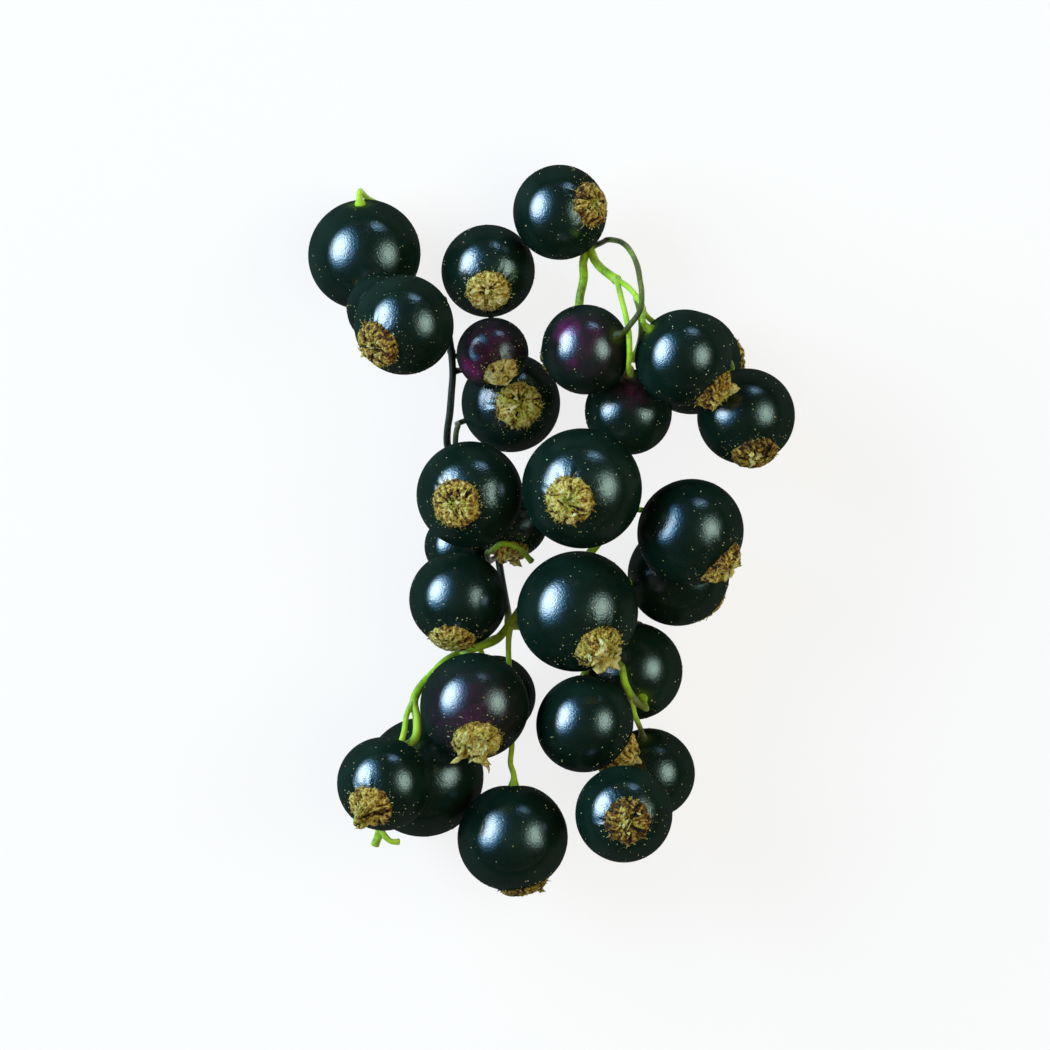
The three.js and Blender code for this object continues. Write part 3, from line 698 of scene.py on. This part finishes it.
# Each form in shares of the foot's radius: height of the rim over the skin, waist, mouth, depth of
# the pit, lift of the five lobes, turns of the twist if any, depth of the folds from foot to rim.
# Then how green it is, how many sepals, stamens and hairs stand on it, how large its sepals are, its
# depth over its width where they differ, and where its flat outer ring starts.
flowerForms = {
    "disc": {"top": 0.15, "waist": 0.92, "mouth": 0.7, "pit": 0.08, "lobes": 0.0,
             "folds": 0.12, "moss": 0.15, "sepal": 6, "stamen": 18, "hair": 90, "sepalSize": 0.8,
             "ring": 0.95},
    "hollow": {"top": 0.2, "waist": 0.92, "mouth": 0.7, "pit": 0.18, "lobes": 0.02,
               "folds": 0.2, "moss": 0.1, "sepal": 10, "stamen": 14, "hair": 90, "sepalSize": 1.0,
               "ring": 0.95},
    "fold": {"top": 0.3, "waist": 0.88, "mouth": 0.7, "pit": 0.18, "lobes": 0.3,
             "folds": 0.5, "moss": 0.0, "sepal": 14, "stamen": 6, "hair": 60, "sepalSize": 1.6,
             "squeeze": 0.5, "ring": 0.93},
    "brush": {"top": 0.36, "waist": 0.84, "mouth": 0.62, "pit": 0.2, "lobes": 0.22, "twist": 0.05,
              "folds": 0.5, "moss": 0.1, "sepal": 16, "stamen": 10, "hair": 80, "sepalSize": 1.4,
              "squeeze": 0.85, "ring": 0.9},
    "crown": {"top": 0.34, "waist": 0.88, "mouth": 0.7, "pit": 0.24, "lobes": 0.2, "twist": 0.04,
              "folds": 0.3, "moss": 0.1, "sepal": 24, "stamen": 8, "hair": 90, "sepalSize": 1.8,
              "ring": 0.93},
    "funnel": {"top": 0.5, "waist": 0.76, "mouth": 0.5, "pit": 0.2, "lobes": 0.2,
               "folds": 0.9, "moss": 0.0, "sepal": 9, "stamen": 3, "hair": 24, "sepalSize": 1.6,
               "squeeze": 0.7, "ring": 0.86},
    "spike": {"top": 1.35, "waist": 0.33, "mouth": 0.22, "pit": 0.12, "lobes": 0.05, "twist": 0.12,
              "folds": 1.0, "moss": 0.0, "sepal": 5, "stamen": 2, "hair": 50, "sepalSize": 1.0,
              "ring": 0.42},
}
formOf = {4: "hollow", 7: "hollow", 12: "brush", 13: "hollow", 15: "brush", 17: "spike", 20: "fold",
          21: "funnel", 22: "hollow", 23: "crown", 24: "crown", 26: "hollow", 28: "brush"}
# How much lighter and how much greener than the others a dried flower is. The lightness is partly the
# flower's own colour and partly painted shade: flowers that lie low or half hidden among the berries are
# made darker.
flowerTintsAndShade = {2: (-0.08, 0), 4: (0.13, 0.25), 7: (0.15, -0.35), 9: (-0.1, 0), 10: (-0.2, 0),
               11: (0.03, 0), 12: (-0.04, -0.1), 13: (-0.22, 0.25), 15: (0.24, 0), 16: (-0.06, -0.1),
               17: (-0.09, -0.2), 19: (-0.13, -0.25), 20: (-0.18, -0.1), 21: (-0.02, 0),
               22: (-0.27, 0.1), 23: (0, 0.2), 24: (0.05, 0.1), 26: (-0.2, -0.35),
               27: (-0.2, 0.2), 28: (-0.17, 0), 29: (0.05, 0.1)}
# A slash's distance from the pole, length, width and depth are shares of the foot's radius
flowerSettings = {"sides": 144, "rings": 42, "largeCrease": 1.0 * mm, "smallCrease": 0.42 * mm,
                  "creaseDepth": 0.07 * mm, "foldDepth": 0.06, "patch": 2.4 * mm,
                  "slashes": 12, "slashFar": (0.25, 0.85), "slashLong": (0.1, 0.28),
                  "slashWide": (0.03, 0.06), "slashDepth": 0.09}
# Strips that stand on a flower, in shares of the foot's radius: where they start, how long and wide
# they are, how much they climb and lean outward, how they bend over, and how pale and green they are
strips = {
    "sepal": {"start": (0.15, 0.65), "length": (0.28, 0.5), "width": (0.08, 0.18),
              "climb": (0.4, 1.0), "lean": (-0.5, 0.7), "bend": (-0.8, 0.6),
              "shade": (0.7, 1.05), "moss": (0.0, 0.25)},
    "stamen": {"start": (0.0, 0.32), "length": (0.16, 0.32), "width": (0.035, 0.075),
               "climb": (0.3, 0.9), "lean": (-0.5, 0.7), "bend": (-0.6, 0.6),
               "shade": (0.45, 0.95), "moss": (0.5, 1.0)},
    "hair": {"start": (0.88, 1.02), "length": (0.1, 0.26), "width": (0.016, 0.04),
             "climb": (0.0, 0.5), "lean": (0.5, 1.0), "bend": (-0.3, 0.1),
             "shade": (0.25, 0.75), "moss": (0.0, 0.5)},
}
stripSettings = {"steps": 7, "sides": 8, "thickness": 0.03 * mm, "curl": 0.5}


def flowerAxes(berry, squeeze):
    # Two directions on the skin and the flower's pole. A squeezed flower lies long across its
    # berry and is short towards the pole's own tilt.
    side, out, pole = across(berry["pole"])
    return side, squeeze * out, pole


def flowerPiece(berry, material):
    # The profile gives the height over the skin by distance from the pole: a pit, a rim, a waist
    # and a foot that ends under the skin. It is carried round the pole, and creases, folds from
    # foot to rim, torn slashes and five lobes push it in and out.
    form = flowerForms[formOf.get(berry["number"], "disc")]
    rng = np.random.default_rng(300 + berry["number"])
    rings, sides = flowerSettings["rings"], flowerSettings["sides"]
    foot, top, mouth, pit = berry["foot"], form["top"], form["mouth"], form["pit"]
    corners = np.array([(0.03, top - pit), (0.4 * mouth, top - 0.85 * pit),
                        (0.75 * mouth, top - 0.2 * pit), (mouth, top), (form["waist"], 0.55 * top),
                        (form["ring"], max(0.16 * top, 0.06)), (0.98, 0.04), (1.03, -0.12)]) * foot
    corners[:, 1] += np.sqrt(berry["radius"] ** 2 - corners[:, 0] ** 2)
    depth = np.append(0, np.cumsum(np.linalg.norm(np.diff(corners, axis=0), axis=1)))
    share = np.linspace(0, 1, rings)
    profile = np.stack([np.interp(share * depth[-1], depth, corners[:, axis]) for axis in (0, 1)], 1)
    for smoothing in range(3):                                     # rounds the profile's corners
        profile[1:-1] = (profile[:-2] + 2 * profile[1:-1] + profile[2:]) / 4
    base, tip = corners[6, 1], corners[3, 1]
    turn = 2 * np.pi * np.arange(sides)[None, :] / sides
    outward, upward, share = profile[:, 0, None], profile[:, 1, None], share[:, None]
    rise = np.clip((upward - base) / (tip - base), 0, 1)
    shown = np.clip((1 - share) * 8, 0, 1)                         # the hidden foot stays smooth
    squeeze = form.get("squeeze", 1.0)
    reach = outward * np.sqrt(np.cos(turn) ** 2 + (squeeze * np.sin(turn)) ** 2)
    onSkin = np.sqrt(berry["radius"] ** 2 - reach ** 2) - np.sqrt(berry["radius"] ** 2 - outward ** 2)
    x, y = outward * np.cos(turn), outward * np.sin(turn)
    flat = np.stack([x, y, 0 * x + upward], -1)
    largeCrease = crumple(flat, flowerSettings["largeCrease"], rng)
    smallCrease = crumple(flat, flowerSettings["smallCrease"], rng)
    fold = 1 - np.abs(ripple(turn, share, 7, rng, 9, 30, 5.0))
    count = flowerSettings["slashes"]
    far = rng.uniform(*flowerSettings["slashFar"], count) * foot
    where = rng.uniform(0, 2 * np.pi, count)
    lie = where + rng.normal(0, 0.5, count)
    dx, dy = x[..., None] - far * np.cos(where), y[..., None] - far * np.sin(where)
    halfLong = rng.uniform(*flowerSettings["slashLong"], count) * foot
    halfWide = rng.uniform(*flowerSettings["slashWide"], count) * foot
    long = (dx * np.cos(lie) + dy * np.sin(lie)) / halfLong
    wide = (dy * np.cos(lie) - dx * np.sin(lie)) / halfWide
    slash = np.exp(-long ** 2 - wide ** 2).max(-1)
    push = shown * (flowerSettings["creaseDepth"] * (largeCrease + 0.6 * smallCrease)
                    + foot * (flowerSettings["foldDepth"] * form["folds"] * fold
                              - flowerSettings["slashDepth"] * slash))
    tilt = np.gradient(profile, axis=0)
    tilt = (tilt / np.linalg.norm(tilt, axis=1)[:, None])[:, None, :]
    lobe = np.cos(5 * turn + rng.uniform(0, 2 * np.pi)) * rise
    ragged = ripple(turn, 0.0, 7, rng, 2, 14)
    wider = outward * (1 + 0.4 * form["lobes"] * lobe + 0.035 * share * ragged) - tilt[..., 1] * push
    along = upward + onSkin + 0.5 * form["lobes"] * foot * lobe + tilt[..., 0] * push
    twisted = turn + form.get("twist", 0) * 2 * np.pi * rise
    side, out, pole = flowerAxes(berry, squeeze)
    spoke = np.cos(twisted)[..., None] * side + np.sin(twisted)[..., None] * out
    points = wider[..., None] * spoke + along[..., None] * pole
    points = np.vstack([pole * along[0].mean(), points.reshape(-1, 3),
                        pole * (along[-1].mean() - 0.1 * foot)])
    middle = np.exp(-(outward / (0.35 * foot)) ** 2)
    outer = np.clip(outward / foot - 0.5, 0, 0.5) * 2
    # Creases and folds are pale on their crests, and slashes and the pit dark: painted light and shade
    # that follow the relief. The outer ring is a darker brown of its own, and the middle is green.
    # the flower's tint, whose lightness holds painted shade as well as its own colour
    lightnessAndShade, greener = flowerTintsAndShade.get(berry["number"], (0, 0))
    shade = (0.6 + lightnessAndShade + 0.14 * largeCrease + 0.14 * smallCrease
             + 0.08 * form["folds"] * fold - 0.85 * slash - 1.2 * pit * middle - 0.2 * outer)
    moss = (form["moss"] + greener + 0.6 * middle - 0.2 * outer
            + 0.35 * crumple(flat, flowerSettings["patch"], rng, 5))
    fibre = np.stack([np.cos(turn) * foot / mm + 0 * share, np.sin(turn) * foot / mm + 0 * share,
                      0.2 * share * depth[-1] / mm + 0 * turn], -1)

    def ends(field):
        return np.concatenate([field[:1, 0], field.reshape(-1, *field.shape[2:]), field[-1:, 0]])

    pad = {"points": points + berry["centre"], "faces": latticeFaces(rings, sides),
           "values": {"shade": ends(np.clip(shade, 0, 1)), "moss": ends(np.clip(moss, 0, 1)),
                      "fibre": ends(fibre)}}
    piece = makePiece(f"dried_calyx_{berry['number']:02d}",
                      [pad, stripMesh(berry, form, corners, rng)], [material])
    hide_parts(f"dried_flower_{berry['number']:02d}")
    return piece


def stripMesh(berry, form, corners, rng):
    # Withered sepals, stamens and hairs: strips that rise from the pad, bend over and end in a
    # point. Each is a flat curled tube on a grid of step and side, and all are worked out at once.
    steps, sides = stripSettings["steps"], stripSettings["sides"]
    side, out, pole = flowerAxes(berry, form.get("squeeze", 1.0))
    foot = berry["foot"]

    def draw(key):
        return np.concatenate([rng.uniform(*strips[kind][key], form[kind]) for kind in strips])[:, None]

    far = draw("start") * foot
    count = len(far)
    angle = rng.uniform(0, 2 * np.pi, (count, 1))
    spoke = np.cos(angle) * side + np.sin(angle) * out
    tangent = np.cross(pole, spoke)
    onPad = np.interp(far, corners[:4, 0], corners[:4, 1])
    onSkin = np.sqrt(berry["radius"] ** 2 - (far * np.linalg.norm(spoke, axis=1)[:, None]) ** 2)
    begin = spoke * far + pole * (np.where(far < corners[3, 0], onPad, onSkin) - 0.05 * foot)
    size = foot * np.concatenate([np.full(form[kind], form["sepalSize"] if kind == "sepal" else 1.0)
                                  for kind in strips])[:, None]
    length, width, climb = draw("length") * size, draw("width") * size, draw("climb")
    first = climb * pole + draw("lean") * spoke + rng.uniform(-0.5, 0.5, (count, 1)) * tangent
    second = draw("bend") * spoke - 0.4 * climb * pole + rng.uniform(-0.4, 0.4, (count, 1)) * tangent
    t = np.linspace(0, 1, steps)[None, :, None]
    course = begin[:, None] + length[:, None] * (t * first[:, None] + t ** 2 * second[:, None])
    heading = course[:, -1] - course[:, 0]
    heading /= np.linalg.norm(heading, axis=1)[:, None]
    roll = rng.uniform(-1.2, 1.2, (count, 1))
    flat = tangent * np.cos(roll) + pole * np.sin(roll)
    flat -= heading * (flat * heading).sum(1)[:, None]
    flat /= np.linalg.norm(flat, axis=1)[:, None]
    upright = np.cross(flat, heading)
    turn = 2 * np.pi * np.arange(sides) / sides
    ragged = 1 + 0.35 * np.sin(9 * t + rng.uniform(0, 2 * np.pi, (count, 1, 1)))
    half = width[:, None] * (0.55 + 0.45 * np.sin(np.pi * t)) * (1 - t ** 5) * ragged + 0.01 * mm
    wave = 0.3 * width[:, None] * np.sin(7 * t + rng.uniform(0, 2 * np.pi, (count, 1, 1)))
    curl = stripSettings["curl"] * half * np.cos(turn) ** 2 + wave
    tube = (course[:, :, None] + (half * np.cos(turn))[..., None] * flat[:, None, None]
            + (stripSettings["thickness"] * np.sin(turn) + curl)[..., None] * upright[:, None, None])
    points = np.concatenate([course[:, :1], tube.reshape(count, -1, 3), course[:, -1:]], 1)
    stride = steps * sides + 2
    shade, moss = np.repeat(draw("shade")[:, 0], stride), np.repeat(draw("moss")[:, 0], stride)
    fibre = np.tile(rng.uniform(0, 9, (count, 1, 3)), (1, stride, 1)).reshape(-1, 3)
    return {"points": points.reshape(-1, 3) + berry["centre"],
            "faces": repeatFaces(latticeFaces(steps, sides), count, stride),
            "values": {"shade": shade, "moss": moss, "fibre": fibre}}


def flowerMaterial():
    # Withered flower: papery brown tissue with fine fibres that run out from its middle and a green
    # cast in places, quite matt. Its pale creases and dark tears and pit are painted light and shade.
    material, tree = newMaterial("withered_papery_flower")
    place = addNode(tree, "TexCoord").outputs["Object"]
    shade, moss = (addNode(tree, "Attribute", {"attribute_name": key}).outputs["Fac"]
                   for key in ("shade", "moss"))
    fibre = addNode(tree, "Attribute", {"attribute_name": "fibre"}).outputs["Vector"]
    threads = addNode(tree, "TexNoise", {"Scale": 1 / 0.36, "Detail": 3.0},  # per mm
                      {"Vector": fibre})
    crumbs = addNode(tree, "TexNoise", {"Scale": 1 / (0.28 * mm), "Detail": 5.0, "Roughness": 0.7},
                     {"Vector": place})
    striped = addNode(tree, "Math", {"operation": "MULTIPLY_ADD", 1: 1.2, 2: -0.6},
                      {0: threads.outputs["Fac"]})
    spotted = addNode(tree, "Math", {"operation": "MULTIPLY_ADD", 1: 2.0},
                      {0: crumbs.outputs["Fac"], 2: striped.outputs[0]})
    lowered = addNode(tree, "Math", {"operation": "ADD", 1: -0.96}, {0: spotted.outputs[0]})
    depth = addNode(tree, "Math", {"operation": "ADD"}, {0: shade, 1: lowered.outputs[0]})
    tone = addNode(tree, "ValToRGB", links={"Fac": depth.outputs[0]},
                   stops=[(0.0, "#120c05"), (1.0, "#f2e7a6"), (0.2, "#432a0e"), (0.4, "#8a6020"),
                          (0.58, "#bb9c3a"), (0.8, "#decb6a")])
    green = addNode(tree, "Mix", {"data_type": "RGBA", "blend_type": "MULTIPLY",
                                  7: toLinear("#b4d468")},
                    {0: moss, 6: tone.outputs[0]})
    relief = addNode(tree, "Bump", {"Strength": 0.9, "Distance": 0.1 * mm},
                     {"Height": spotted.outputs[0]})
    flower = addNode(tree, "BsdfPrincipled", {"Roughness": 0.85, "IOR": 1.4},
                     {"Base Color": green.outputs[2], "Normal": relief.outputs[0]})
    finishMaterial(tree, flower)
    return material


skin, gland = skinMaterial(), glandMaterial()
for berry in berries.values():
    piece = berryPiece(berry, [skin, gland])
    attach(piece, "root")
print("berries made")

withered = flowerMaterial()
for berry in berries.values():
    piece = flowerPiece(berry, withered)
    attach(piece, "root")
print("dried flowers made")

rng = np.random.default_rng(7)
strig = makePiece("branching_stem", [tubeMesh(stem, rng) for stem in stems], [stemMaterial()])
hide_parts("strig")
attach(strig, "root")
print("stem made")
